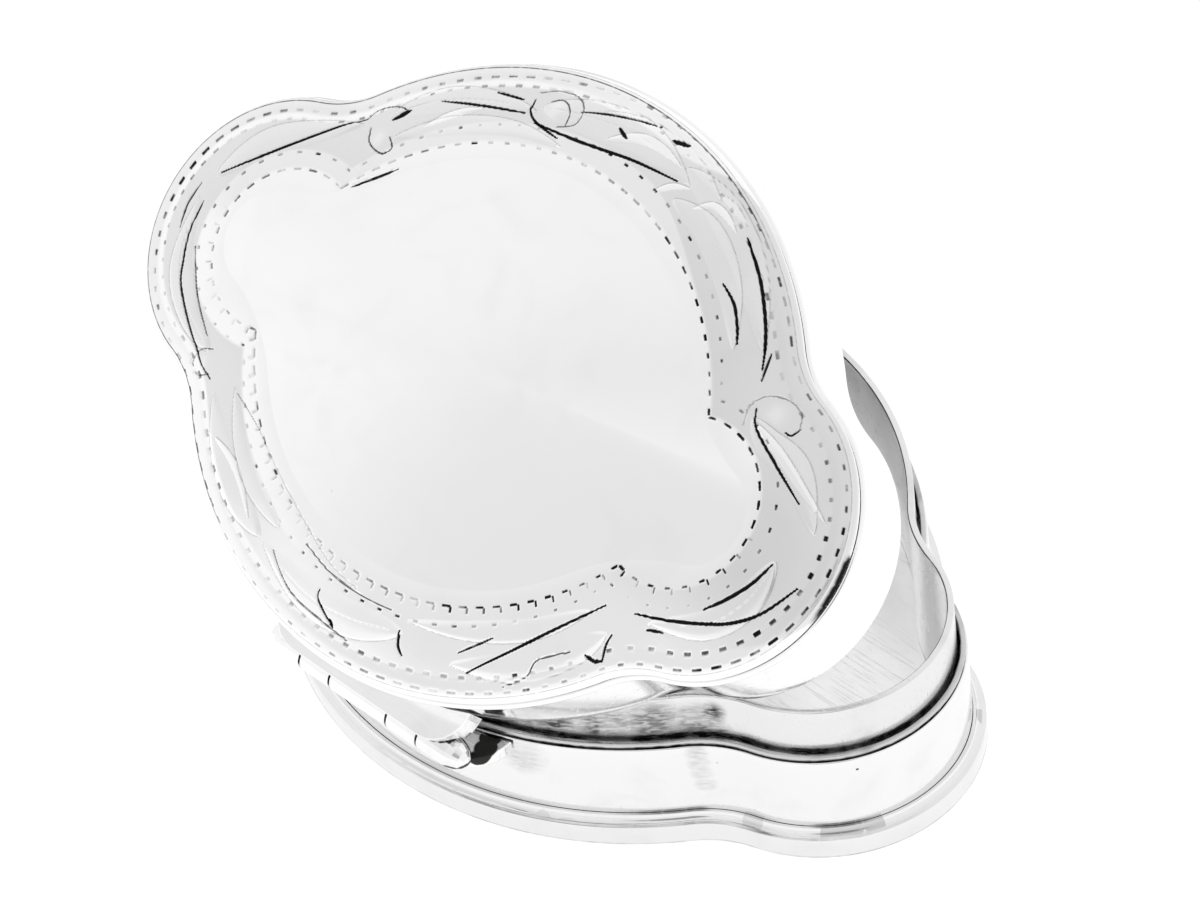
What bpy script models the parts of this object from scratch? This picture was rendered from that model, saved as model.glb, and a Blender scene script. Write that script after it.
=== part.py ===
"""Four-lobed silver trinket box with a hinged, cushion-topped lid.

Metres, +Z up. The origin is the centre of the underside, +X runs along the box and
the hinge is on the -Y long side. The lid stands open at LID_OPENING.
"""

import math

import bmesh
import bpy

# Plan of the side walls: two end lobes, two side lobes and four soft notches
BOX_LENGTH = 0.1000
BOX_WIDTH = 0.0684
END_LOBE_RADIUS = 0.0165
SIDE_LOBE_RADIUS = 0.0422
NOTCH_RADIUS = 0.0140
END_LOBE_STEPS = 16
SIDE_LOBE_STEPS = 18
NOTCH_STEPS = 4

# Gap left between neighbouring pieces that are soldered or rest on each other
SEAT_GAP = 0.0003
# How far a cutter passes the faces that it cuts
CUT_OVERRUN = 0.0020
MERGE_DISTANCE = 0.00001
SMOOTH_ANGLE = math.radians(35)

# Base
PLATE_THICKNESS = 0.0013
PLATE_EDGE_ROUNDING = 0.00035
FOOT_PROJECTION = 0.0015
FOOT_STEP_HEIGHT = 0.0027
FOOT_HEIGHT = 0.0036
FOOT_LIP = 0.0003
WALL_TOP = 0.0137
WALL_THICKNESS = 0.0009
COLLAR_TOP = 0.0205
COLLAR_THICKNESS = 0.0008
COLLAR_EDGE_ROUNDING = 0.0002
SEAT_WIRE_WIDTH = 0.0007
SEAT_WIRE_HEIGHT = 0.0005

# Dip of the collar beside the hinge
DIP_DEPTH = 0.0050
DIP_FLOOR_HALF_WIDTH = 0.0150
DIP_HALF_WIDTH = 0.0285
DIP_SIDE_STEPS = 8
DIP_REACH = 0.0190

# Lid
LID_OPENING = math.radians(35.2)
LID_WALL_PROJECTION = 0.0003
LID_WALL_THICKNESS = 0.0009
LID_WALL_HEIGHT = 0.0098
RIM_PROJECTION = 0.0011
RIM_HEIGHT = 0.0010
RIM_STEPS = 6
LID_SHEET = 0.0008
LID_SHEET_SETBACK = 0.0004

# Rise of the lid's cushion: width of each band, measured inwards from the edge, and its rise
EDGE_ROLL_WIDTH = 0.0003
EDGE_ROLL_RISE = 0.0006
SHOULDER_WIDTH = 0.0020
SHOULDER_RISE = 0.0007
SHOULDER_STEPS = 4
BORDER_WIDTH = 0.0065
BORDER_RISE = 0.0012
BORDER_STEPS = 3
PANEL_EDGE_WIDTH = 0.0030
PANEL_EDGE_RISE = 0.0002
PANEL_RISE = 0.0010
PANEL_RINGS = 3

# Hinge
HINGE_STANDOFF = 0.0028
HINGE_RISE = 0.0009
BARREL_RADIUS = 0.0019
BARREL_HALF_LENGTH = 0.0158
BARREL_END_LENGTH = 0.0032
BARREL_STEPS = 24
BARREL_END_STEPS = 5
MIDDLE_KNUCKLE_HALF_LENGTH = 0.0044
LID_KNUCKLE_LENGTH = 0.0045
PIN_RADIUS = 0.0007
PIN_CLEARANCE = 0.00008
PIN_END_WALL = 0.0024
BEARER_HALF_LENGTH = 0.0164
BEARER_HEIGHT = 0.0015
BEARER_SETBACK = 0.0003
BEARER_EDGE_ROUNDING = 0.0003
COVER_HALF_LENGTH = 0.0146
COVER_RISE = 0.0030
COVER_REACH = 0.0004
COVER_EDGE_ROUNDING = 0.0003
LEAF_CORNER_RADIUS = 0.0045
LEAF_CORNER_STEPS = 6

COLLECTION_NAME = "silver_box"
CUTTER_COLLECTION_NAME = "cutters"

# Heights and places that follow from the sizes above
FLOOR = PLATE_THICKNESS + SEAT_GAP
COLLAR_OUTSET = -(WALL_THICKNESS + SEAT_GAP)
SEAT_WIRE_BOTTOM = WALL_TOP + SEAT_GAP
LID_SEAT = SEAT_WIRE_BOTTOM + SEAT_WIRE_HEIGHT + SEAT_GAP
RIM_BOTTOM = LID_WALL_HEIGHT + SEAT_GAP
SHEET_BOTTOM = RIM_BOTTOM + RIM_HEIGHT + SEAT_GAP
HINGE_Y = -(BOX_WIDTH / 2 + HINGE_STANDOFF)
HINGE_Z = WALL_TOP + HINGE_RISE


def start_scene():
    for old in list(bpy.data.objects):
        bpy.data.objects.remove(old, do_unlink=True)
    groups = []
    for name in (COLLECTION_NAME, CUTTER_COLLECTION_NAME):
        group = bpy.data.collections.new(name)
        bpy.context.scene.collection.children.link(group)
        groups.append(group)
    return groups


PARTS, CUTTERS = start_scene()


def silver(name, tone, roughness):
    """A silver finish: tone is its grey level."""
    material = bpy.data.materials.new(name)
    material.use_nodes = True
    shader = material.node_tree.nodes["Principled BSDF"]
    shader.inputs["Base Color"].default_value = (tone, tone, tone, 1)
    shader.inputs["Metallic"].default_value = 1
    shader.inputs["Roughness"].default_value = roughness
    material.diffuse_color = (tone, tone, tone, 1)
    return material


def arc(centre, radius, start, end, steps):
    """Points of an arc, the last one left out."""
    points = []
    for step in range(steps):
        angle = start + (end - start) * step / steps
        x = centre[0] + radius * math.cos(angle)
        y = centre[1] + radius * math.sin(angle)
        points.append((x, y))
    return points


def notch_centre(end_centre, side_centre):
    """Centre of the round notch that touches an end lobe and a side lobe from outside."""
    to_end = END_LOBE_RADIUS + NOTCH_RADIUS
    to_side = SIDE_LOBE_RADIUS + NOTCH_RADIUS
    run = side_centre[0] - end_centre[0]
    rise = side_centre[1] - end_centre[1]
    apart = math.hypot(run, rise)
    along = (to_end**2 - to_side**2 + apart**2) / (2 * apart)
    across = math.sqrt(to_end**2 - along**2)
    x = end_centre[0] + (along * run + across * rise) / apart
    y = end_centre[1] + (along * rise - across * run) / apart
    return (x, y)


def plan_points(outset):
    """The lobed plan, one turn anticlockwise, moved outwards by outset."""
    end_centre = (BOX_LENGTH / 2 - END_LOBE_RADIUS, 0)
    side_centre = (0, BOX_WIDTH / 2 - SIDE_LOBE_RADIUS)
    notch = notch_centre(end_centre, side_centre)
    end_angle = math.atan2(notch[1] - end_centre[1], notch[0] - end_centre[0])
    side_angle = math.atan2(notch[1] - side_centre[1], notch[0] - side_centre[0])
    half_turn = math.pi
    points = []
    for side in (1, -1):
        centre = (side * end_centre[0], 0)
        turn = 0 if side > 0 else half_turn
        points += arc(centre, END_LOBE_RADIUS + outset, turn - end_angle, turn + end_angle, END_LOBE_STEPS)
        corner = (side * notch[0], side * notch[1])
        start = turn + end_angle + half_turn
        end = turn + side_angle + half_turn
        points += arc(corner, NOTCH_RADIUS - outset, start, end, NOTCH_STEPS)
        centre = (0, side * side_centre[1])
        start = turn + side_angle
        end = turn + half_turn - side_angle
        points += arc(centre, SIDE_LOBE_RADIUS + outset, start, end, SIDE_LOBE_STEPS)
        corner = (-side * notch[0], side * notch[1])
        start = turn - side_angle
        end = turn - end_angle
        points += arc(corner, NOTCH_RADIUS - outset, start, end, NOTCH_STEPS)
    return points


def curve_object(name, outlines, flat=True):
    """A curve object with one closed straight-sided spline for each outline."""
    curve = bpy.data.curves.new(name, "CURVE")
    curve.dimensions = "2D" if flat else "3D"
    for outline in outlines:
        spline = curve.splines.new("POLY")
        spline.points.add(len(outline) - 1)
        for point, (x, y) in zip(spline.points, outline):
            point.co = (x, y, 0, 1)
        spline.use_cyclic_u = True
    return bpy.data.objects.new(name, curve)


def as_mesh(source, name):
    """The evaluated shape of a curve object as a closed mesh object; the curve goes."""
    PARTS.objects.link(source)
    graph = bpy.context.evaluated_depsgraph_get()
    mesh = bpy.data.meshes.new_from_object(source.evaluated_get(graph))
    shape = bmesh.new()
    shape.from_mesh(mesh)
    bmesh.ops.remove_doubles(shape, verts=shape.verts, dist=MERGE_DISTANCE)
    bmesh.ops.recalc_face_normals(shape, faces=shape.faces)
    shape.to_mesh(mesh)
    shape.free()
    result = bpy.data.objects.new(name, mesh)
    result.matrix_world = source.matrix_world
    bpy.data.objects.remove(source, do_unlink=True)
    return result


def prism(name, outlines, bottom, top):
    """A flat outline, or a ring between two, from one height to another."""
    curve = curve_object(name + "_outline", outlines)
    curve.data.fill_mode = "BOTH"
    curve.data.extrude = (top - bottom) / 2
    curve.location.z = (bottom + top) / 2
    return as_mesh(curve, name)


def swept_ring(name, section):
    """A closed section of (outset, height) points carried round the plan."""
    profile = curve_object(name + "_section", [section])
    CUTTERS.objects.link(profile)
    path = curve_object(name + "_path", [plan_points(0)], flat=False)
    path.data.twist_mode = "Z_UP"
    path.data.bevel_mode = "OBJECT"
    path.data.bevel_object = profile
    ring = as_mesh(path, name)
    bpy.data.objects.remove(profile, do_unlink=True)
    return ring


def turned(name, profiles):
    """Profiles of (place along X, radius) points, towards -X on their outer side, turned about X."""
    shape = bmesh.new()
    for profile in profiles:
        verts = [shape.verts.new((x, 0, radius)) for x, radius in profile]
        for first, second in zip(verts, verts[1:]):
            shape.edges.new((first, second))
    mesh = bpy.data.meshes.new(name)
    shape.to_mesh(mesh)
    shape.free()
    result = bpy.data.objects.new(name, mesh)
    screw = result.modifiers.new("turn", "SCREW")
    screw.axis = "X"
    screw.steps = BARREL_STEPS
    screw.render_steps = BARREL_STEPS
    screw.use_merge_vertices = True
    screw.merge_threshold = MERGE_DISTANCE
    return result


def block(name, low, high):
    """A box between two corners."""
    shape = bmesh.new()
    bmesh.ops.create_cube(shape, size=1)
    for vert in shape.verts:
        for axis in range(3):
            middle = (low[axis] + high[axis]) / 2
            vert.co[axis] = middle + vert.co[axis] * (high[axis] - low[axis])
    mesh = bpy.data.meshes.new(name)
    shape.to_mesh(mesh)
    shape.free()
    return bpy.data.objects.new(name, mesh)


def rounded(piece, width, segments=2):
    """Rounds a piece's sharp edges."""
    bevel = piece.modifiers.new("rounded_edges", "BEVEL")
    bevel.width = width
    bevel.segments = segments
    bevel.limit_method = "ANGLE"
    bevel.angle_limit = math.radians(50)


def combine(piece, other, operation):
    """Cuts other from piece, or joins it on, with other kept as a guide."""
    CUTTERS.objects.link(other)
    other.hide_render = True
    other.display_type = "WIRE"
    boolean = piece.modifiers.new(other.name, "BOOLEAN")
    boolean.operation = operation
    boolean.solver = "EXACT"
    boolean.object = other


def finish(piece, material, parent=None):
    """Puts a piece in the part, under its finish and its parent."""
    piece.data.materials.clear()
    piece.data.materials.append(material)
    if piece.name not in PARTS.objects:
        PARTS.objects.link(piece)
    piece.data.shade_smooth()
    piece.data.set_sharp_from_angle(angle=SMOOTH_ANGLE)
    piece.parent = parent
    return piece


def empty(name, place, parent=None):
    holder = bpy.data.objects.new(name, None)
    holder.location = place
    holder.parent = parent
    PARTS.objects.link(holder)
    return holder


# Base

def make_base_plate():
    plate = prism("base_plate", [plan_points(FOOT_PROJECTION)], 0, PLATE_THICKNESS)
    rounded(plate, PLATE_EDGE_ROUNDING)
    return plate


def make_foot_moulding():
    """Upright edge, then a hollow sweep up to the wall."""
    inner = SEAT_GAP
    lip = inner + FOOT_LIP
    sweep = FOOT_HEIGHT - FOOT_STEP_HEIGHT
    width = FOOT_PROJECTION - lip
    section = [(inner, FLOOR), (FOOT_PROJECTION, FLOOR), (FOOT_PROJECTION, FOOT_STEP_HEIGHT)]
    steps = 3
    for step in range(1, steps + 1):
        turn = math.pi / 2 * step / steps
        section.append((lip + width * (1 - math.sin(turn)), FOOT_HEIGHT - sweep * math.cos(turn)))
    section.append((inner, FOOT_HEIGHT))
    return swept_ring("foot_moulding", section)


def make_base_wall():
    return prism("base_wall", [plan_points(0), plan_points(-WALL_THICKNESS)], FLOOR, WALL_TOP)


def dip_outline():
    """Side view of the dip: a flat floor between two soft slopes, open at the top."""
    floor = COLLAR_TOP - DIP_DEPTH
    roof = COLLAR_TOP + CUT_OVERRUN
    slope = DIP_HALF_WIDTH - DIP_FLOOR_HALF_WIDTH
    right = []
    for step in range(DIP_SIDE_STEPS + 1):
        share = step / DIP_SIDE_STEPS
        ease = (1 - math.cos(math.pi * share)) / 2
        right.append((DIP_FLOOR_HALF_WIDTH + slope * share, floor + DIP_DEPTH * ease))
    right.append((DIP_HALF_WIDTH + CUT_OVERRUN, COLLAR_TOP + CUT_OVERRUN / 2))
    right.append((DIP_HALF_WIDTH + CUT_OVERRUN, roof))
    left = [(-x, height) for x, height in reversed(right)]
    return right + left


def make_collar():
    """The upright inner band that the lid closes over, cut down beside the hinge."""
    rings = [plan_points(COLLAR_OUTSET), plan_points(COLLAR_OUTSET - COLLAR_THICKNESS)]
    collar = prism("collar", rings, FLOOR, COLLAR_TOP)
    outer = BOX_WIDTH / 2
    dip = prism("collar_dip", [dip_outline()], -outer - CUT_OVERRUN, -outer + DIP_REACH)
    dip.rotation_euler.x = math.pi / 2
    dip.location = (0, dip.location.z, 0)
    combine(collar, dip, "DIFFERENCE")
    rounded(collar, COLLAR_EDGE_ROUNDING, 1)
    return collar


def make_seat_wire():
    """The narrow step that the closed lid rests on."""
    inner = COLLAR_OUTSET + SEAT_GAP + MERGE_DISTANCE
    rings = [plan_points(inner + SEAT_WIRE_WIDTH), plan_points(inner)]
    return prism("seat_wire", rings, SEAT_WIRE_BOTTOM, SEAT_WIRE_BOTTOM + SEAT_WIRE_HEIGHT)


# Hinge

def rod_profile(middle, length, radius):
    """Side view of a plain round rod along X."""
    start = middle + length / 2
    end = middle - length / 2
    return [(start, 0), (start, radius), (end, radius), (end, 0)]


def rod(name, half_length, radius):
    return turned(name, [rod_profile(0, 2 * half_length, radius)])


def whole_barrel():
    """The hinge's full barrel with its two domed ends."""
    dome_start = BARREL_HALF_LENGTH - BARREL_END_LENGTH
    profile = [(BARREL_HALF_LENGTH, 0)]
    for step in range(1, BARREL_END_STEPS + 1):
        turn = math.pi / 2 * step / BARREL_END_STEPS
        x = dome_start + BARREL_END_LENGTH * math.cos(turn)
        profile.append((x, BARREL_RADIUS * math.sin(turn)))
    profile += [(-x, radius) for x, radius in reversed(profile)]
    return turned("barrel", [profile])


def leaf_outline(half, front):
    """Plan of a hinge leaf: a straight front with round corners that run back into the box."""
    back = DIP_REACH / 2 - BOX_WIDTH / 2
    radius = LEAF_CORNER_RADIUS
    quarter = math.pi / 2
    points = [(half, back), (-half, back)]
    points += arc((radius - half, front + radius), radius, 2 * quarter, 3 * quarter, LEAF_CORNER_STEPS)
    points.append((radius - half, front))
    points += arc((half - radius, front + radius), radius, 3 * quarter, 4 * quarter, LEAF_CORNER_STEPS)
    points.append((half, front + radius))
    return points


def lid_knuckles(name, length, radius):
    """The two knuckles between the middle one and the end ones, or the rooms for them."""
    middle = MIDDLE_KNUCKLE_HALF_LENGTH + SEAT_GAP + LID_KNUCKLE_LENGTH / 2
    return turned(name, [rod_profile(-middle, length, radius), rod_profile(middle, length, radius)])


def make_hinge_base():
    """The leaf on the wall with the middle knuckle and the two domed end knuckles."""
    top = WALL_TOP - SEAT_GAP
    outline = leaf_outline(BEARER_HALF_LENGTH, HINGE_Y + BEARER_SETBACK)
    bearer = prism("hinge_base", [outline], top - BEARER_HEIGHT, top)
    rounded(bearer, BEARER_EDGE_ROUNDING)
    wall_room = prism("wall_room", [plan_points(SEAT_GAP)], 0, WALL_TOP + CUT_OVERRUN)
    combine(bearer, wall_room, "DIFFERENCE")
    barrel = whole_barrel()
    bore = rod("pin_room", BARREL_HALF_LENGTH - PIN_END_WALL, PIN_RADIUS + PIN_CLEARANCE)
    room = lid_knuckles("lid_knuckle_room", LID_KNUCKLE_LENGTH + 2 * SEAT_GAP, BARREL_RADIUS + SEAT_GAP)
    for guide, operation in ((barrel, "UNION"), (bore, "DIFFERENCE"), (room, "DIFFERENCE")):
        guide.location = (0, HINGE_Y, HINGE_Z)
        combine(bearer, guide, operation)
    return bearer


def make_hinge_pin():
    pin = rod("hinge_pin", BARREL_HALF_LENGTH - PIN_END_WALL - SEAT_GAP, PIN_RADIUS)
    pin.location = (0, HINGE_Y, HINGE_Z)
    return pin


def make_hinge_lid():
    """The lid's leaf, which curls over the barrel, and its two knuckles, about the hinge axis."""
    outline = leaf_outline(COVER_HALF_LENGTH, HINGE_Y - COVER_REACH)
    cover = prism("hinge_lid", [outline], LID_SEAT, HINGE_Z + COVER_RISE)
    cover.location.y -= HINGE_Y
    cover.location.z -= HINGE_Z
    rounded(cover, COVER_EDGE_ROUNDING)
    wall_room = prism("lid_wall_room", [plan_points(LID_WALL_PROJECTION + SEAT_GAP)], 0, COLLAR_TOP)
    wall_room.location.y -= HINGE_Y
    inner = MIDDLE_KNUCKLE_HALF_LENGTH + SEAT_GAP
    outer = inner + LID_KNUCKLE_LENGTH
    end = BARREL_HALF_LENGTH + CUT_OVERRUN
    radius = BARREL_RADIUS + SEAT_GAP
    rooms = [rod_profile(0, 2 * inner, radius)]
    for side in (-1, 1):
        rooms.append(rod_profile(side * (outer + end) / 2, end - outer, radius))
    barrel_room = turned("base_knuckle_room", rooms)
    bore = rod("lid_knuckle_bore", BARREL_HALF_LENGTH + CUT_OVERRUN, PIN_RADIUS + PIN_CLEARANCE)
    knuckles = lid_knuckles("lid_knuckles", LID_KNUCKLE_LENGTH, BARREL_RADIUS)
    guides = [wall_room, barrel_room, knuckles, bore]
    for guide in guides:
        combine(cover, guide, "UNION" if guide == knuckles else "DIFFERENCE")
    return cover, guides


# Lid, in its closed place over the hinge axis

def make_lid_wall():
    inner = LID_WALL_PROJECTION - LID_WALL_THICKNESS
    return prism("lid_wall", [plan_points(LID_WALL_PROJECTION), plan_points(inner)], 0, LID_WALL_HEIGHT)


def make_lid_rim():
    """A bead that stands out all round where the lid's top meets its wall."""
    inner = LID_WALL_PROJECTION - LID_WALL_THICKNESS
    radius = RIM_HEIGHT / 2
    nose = LID_WALL_PROJECTION + RIM_PROJECTION - radius
    section = [(inner, RIM_BOTTOM)]
    for step in range(RIM_STEPS + 1):
        turn = math.pi * step / RIM_STEPS - math.pi / 2
        section.append((nose + radius * math.cos(turn), RIM_BOTTOM + radius + radius * math.sin(turn)))
    section.append((inner, RIM_BOTTOM + RIM_HEIGHT))
    return swept_ring("lid_rim", section)


def cushion_bands():
    """Width and rise of each band of the lid's top, from its edge inwards."""
    bands = [(EDGE_ROLL_WIDTH, EDGE_ROLL_RISE)]
    for step in range(SHOULDER_STEPS):
        first = math.pi / 2 * step / SHOULDER_STEPS
        second = math.pi / 2 * (step + 1) / SHOULDER_STEPS
        width = SHOULDER_WIDTH * (math.cos(first) - math.cos(second))
        rise = SHOULDER_RISE * (math.sin(second) - math.sin(first))
        bands.append((width, rise))
    for step in range(BORDER_STEPS):
        first = step / BORDER_STEPS
        second = (step + 1) / BORDER_STEPS
        rise = BORDER_RISE * ((1 - first) ** 2 - (1 - second) ** 2)
        bands.append((BORDER_WIDTH / BORDER_STEPS, rise))
    bands.append((PANEL_EDGE_WIDTH, PANEL_EDGE_RISE))
    return bands


def make_lid_top():
    """The cushion-shaped top sheet: bands inset one after another, then a low dome."""
    edge = LID_WALL_PROJECTION + RIM_PROJECTION - LID_SHEET_SETBACK
    start = SHEET_BOTTOM + LID_SHEET / 2
    shape = bmesh.new()
    verts = [shape.verts.new((x, y, start)) for x, y in plan_points(edge)]
    panel = shape.faces.new(verts)
    panel.normal_update()
    for width, rise in cushion_bands():
        bmesh.ops.inset_individual(shape, faces=[panel], thickness=width, depth=rise, use_even_offset=True)
    outline = [vert.co.copy() for vert in panel.verts]
    for ring in range(1, PANEL_RINGS + 1):
        share = 1 - ring / (PANEL_RINGS + 1)
        bmesh.ops.inset_individual(shape, faces=[panel], thickness=MERGE_DISTANCE)
        for vert, start_point in zip(panel.verts, outline):
            vert.co.xy = start_point.xy * share
            vert.co.z = start_point.z + PANEL_RISE * (1 - share**2)
    centre = bmesh.ops.poke(shape, faces=[panel])["verts"][0]
    centre.co = (0, 0, outline[0].z + PANEL_RISE)
    mesh = bpy.data.meshes.new("lid_top")
    shape.to_mesh(mesh)
    shape.free()
    top = bpy.data.objects.new("lid_top", mesh)
    sheet = top.modifiers.new("sheet", "SOLIDIFY")
    sheet.thickness = LID_SHEET
    sheet.offset = -1
    sheet.use_even_offset = True
    return top


def build():
    polished = silver("polished_silver", 0.90, 0.12)
    worn = silver("worn_silver", 0.70, 0.30)
    hinge_silver = silver("hinge_silver", 0.80, 0.20)

    base = empty("base", (0, 0, 0))
    finish(make_base_plate(), polished, base)
    finish(make_foot_moulding(), polished, base)
    finish(make_base_wall(), polished, base)
    finish(make_collar(), worn, base)
    finish(make_seat_wire(), worn, base)
    finish(make_hinge_base(), hinge_silver, base)
    finish(make_hinge_pin(), hinge_silver, base)

    lid = empty("lid", (0, HINGE_Y, HINGE_Z), base)
    lid.rotation_euler.x = LID_OPENING
    for piece in (make_lid_wall(), make_lid_rim(), make_lid_top()):
        piece.location.y -= HINGE_Y
        piece.location.z += LID_SEAT - HINGE_Z
        finish(piece, polished, lid)
    leaf, guides = make_hinge_lid()
    finish(leaf, hinge_silver, lid)
    for guide in guides:
        guide.parent = lid


build()
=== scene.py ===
"""The silver trinket box in soft studio light: polished, punched, chased and lightly tarnished."""

import math

import bmesh
import bpy
import numpy as np
from mathutils import Matrix, Vector


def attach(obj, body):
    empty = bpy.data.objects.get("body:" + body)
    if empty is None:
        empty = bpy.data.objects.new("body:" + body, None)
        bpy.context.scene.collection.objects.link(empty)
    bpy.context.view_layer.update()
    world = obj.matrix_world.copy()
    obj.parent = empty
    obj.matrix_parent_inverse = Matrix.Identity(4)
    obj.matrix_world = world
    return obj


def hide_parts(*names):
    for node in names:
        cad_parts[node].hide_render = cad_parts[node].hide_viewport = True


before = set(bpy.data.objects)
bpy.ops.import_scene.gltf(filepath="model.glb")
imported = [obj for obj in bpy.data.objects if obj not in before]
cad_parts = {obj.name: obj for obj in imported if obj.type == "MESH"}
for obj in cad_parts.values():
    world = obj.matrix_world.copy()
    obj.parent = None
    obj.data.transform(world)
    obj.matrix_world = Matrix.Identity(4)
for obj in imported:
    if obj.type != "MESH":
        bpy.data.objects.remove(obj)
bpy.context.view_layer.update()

MM = 0.001

# Plan of the walls, as the solids have it
END_CENTRE_X = 33.5 * MM
END_RADIUS = 16.5 * MM
SIDE_CENTRE_Y = -8.0 * MM
SIDE_RADIUS = 42.2 * MM
NOTCH_RADIUS = 14.0 * MM

# Base: heights over the ground, and outsets from the outside of the walls
PLATE_TOP = 1.3 * MM
PLATE_OUTSET = 1.33 * MM
PLATE_BEVEL = 0.2 * MM
FOOT_OUTSET = 1.5 * MM
FOOT_INSIDE = 1.38 * MM
FOOT_BOTTOM = 0.02 * MM
FOOT_BOTTOM_BEVEL = 0.03 * MM
FOOT_FACE_LEVELS = (0.1 * MM, 0.7 * MM, 1.7 * MM)
FOOT_STEP = 2.7 * MM
FOOT_EDGE = 0.15 * MM
FOOT_EDGE_IN = 0.05 * MM
FOOT_EDGE_DOWN = 0.04 * MM
FOOT_LIP = 0.35 * MM
FOOT_TOP = 3.6 * MM
FOOT_HOLLOW_STEPS = 6
FOOT_BACK = 0.06 * MM
FOOT_SHELF = 1.35 * MM
WALL_BOTTOM = 1.4 * MM
WALL_TOP = 13.7 * MM
WALL_THICKNESS = 0.9 * MM
WALL_ROWS = 6
SEAT_INSIDE = -0.88 * MM
SEAT_OUTSIDE = -0.2 * MM
SEAT_BOTTOM = 14.0 * MM
SEAT_TOP = 14.5 * MM
SEAT_ROUNDING = 0.22 * MM
COLLAR_OUTSET = -1.2 * MM
COLLAR_THICKNESS = 0.8 * MM
COLLAR_TOP = 20.5 * MM
COLLAR_ROWS = 16
DIP_START = 14.6 * MM
DIP_DEPTH = 5.0 * MM
DIP_FLOOR_X = 15.0 * MM
DIP_EDGE_X = 28.5 * MM
SHEET_ROUNDING = 0.2 * MM

# Lid, in its closed place: heights over the seat
LID_SEAT = 14.8 * MM
LID_WALL_OUTSET = 0.3 * MM
LID_WALL_THICKNESS = 0.9 * MM
LID_WALL_HEIGHT = 9.8 * MM
LID_WALL_ROUNDING = 0.25 * MM
LID_WALL_INSIDE = LID_WALL_OUTSET - LID_WALL_THICKNESS
RIM_OUTSET = 1.4 * MM
RIM_BOTTOM = 10.1 * MM
RIM_TOP = 11.1 * MM
RIM_STEPS = 12
RIM_ROOT_OUTSET = 0.5 * MM
RIM_ROOT_DROP = 0.2 * MM
RIM_CREST_OUTSET = 0.6 * MM
RIM_CREST_RISE = 0.15 * MM
SHEET_EDGE_OUTSET = 1.0 * MM
SHEET_EDGE_HEIGHT = 11.35 * MM
HINGE_AXIS = Vector((0, -37.0 * MM, 14.6 * MM))
LID_OPENING = math.radians(35.2)
LID_TURN = Matrix.Rotation(LID_OPENING, 4, "X")
OPEN_LID = Matrix.Translation(HINGE_AXIS) @ LID_TURN @ Matrix.Translation(-HINGE_AXIS)

# Rise of the lid's cushion, from its edge inwards
ROLL_WIDTH = 0.3 * MM
ROLL_RISE = 1.0 * MM
ROLL_ROWS = 6
SHOULDER_WIDTH = 2.0 * MM
SHOULDER_RISE = 0.7 * MM
SHOULDER_ROWS = 14
BORDER_WIDTH = 9.5 * MM
BORDER_RISE = 1.35 * MM
BORDER_ROWS = 80
PANEL_RISE = 1.0 * MM
PANEL_FINE_ROWS = 24
PANEL_FINE_SHARE = 0.93
PANEL_ROWS = 10
LID_SHEET = 0.6 * MM
UNDERSIDE_ROW_STEP = 8

# Fineness of the meshes
STEPS_ROUND = 720
LID_STEPS = 2400
CORNER_STEPS = 4
SPLINE_STEPS = 14
SMOOTH_ANGLE = math.radians(35)

# Punched rows of the lid's border
DASH_LENGTH = 1.15 * MM
DASH_WIDTH = 0.4 * MM
DASH_SOFT = 0.07 * MM
DASH_DEPTH = 0.07 * MM
ROW_DASHES = 112
OUTER_ROW_OUTSET = 0.15 * MM
OUTER_ROW_SHIFT = 1.1 * MM
SECOND_ROW_OUTSET = -1.5 * MM
EDGE_LINE_OUTSET = 0.62 * MM
FAR_LINE_OUTSET = 0.3 * MM
THIRD_ROW_PITCH = 2.5 * MM
INNER_ROW_PITCH = 2.1 * MM
LOBED_SIDE_RADIUS = 33.0 * MM
LOBED_END_CENTRE = 30.8 * MM
THIRD_ROW_SIDE_CENTRE = 5.35 * MM
THIRD_ROW_END_RADIUS = 11.5 * MM
INNER_ROW_SIDE_CENTRE = 7.7 * MM
INNER_ROW_END_RADIUS = 9.45 * MM

# Where the border's look changes: start and end of each change, along x, along y or towards the far
# left, and for the dark crescent of the right end in radians round that end
FAR_LEFT_X = -0.8
FAR_LEFT_Y = 0.6
FAR_LEFT_CHANGE = (16 * MM, 34 * MM)
FAR_LINE_CHANGE = (-8 * MM, 4 * MM)
NEAR_SIDE_CHANGE = (4 * MM, -4 * MM)
NEAR_BRIGHT_CHANGE = (-24 * MM, -4 * MM)
RIGHT_SIDE_CHANGE = (6 * MM, 20 * MM)
RIGHT_END_CHANGE = (41 * MM, 45 * MM)
LEFT_END_CHANGE = (-38 * MM, -45 * MM)
FAR_RIGHT_CHANGE = (-14 * MM, -2 * MM)
CRESCENT_START = (-0.3, 0.0)
CRESCENT_END = (0.3, 0.2)
WEAR_LENGTH_X = 9 * MM
WEAR_LENGTH_Y = 7 * MM

# Matted ground and graver cuts of the lid's border
GROUND_OUTSET = -1.9 * MM
GROUND_INNER_SOFT = 0.5 * MM
GROUND_OUTER_SOFT = 0.4 * MM
GROUND_MATT = 0.34
GROUND_FAINT = 0.17
CUT_DEPTH = 0.16 * MM
CUT_SOFT = 0.1 * MM
LEAF_OUTLINE = 0.3
BOSS_HEIGHT = 0.1 * MM

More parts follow.
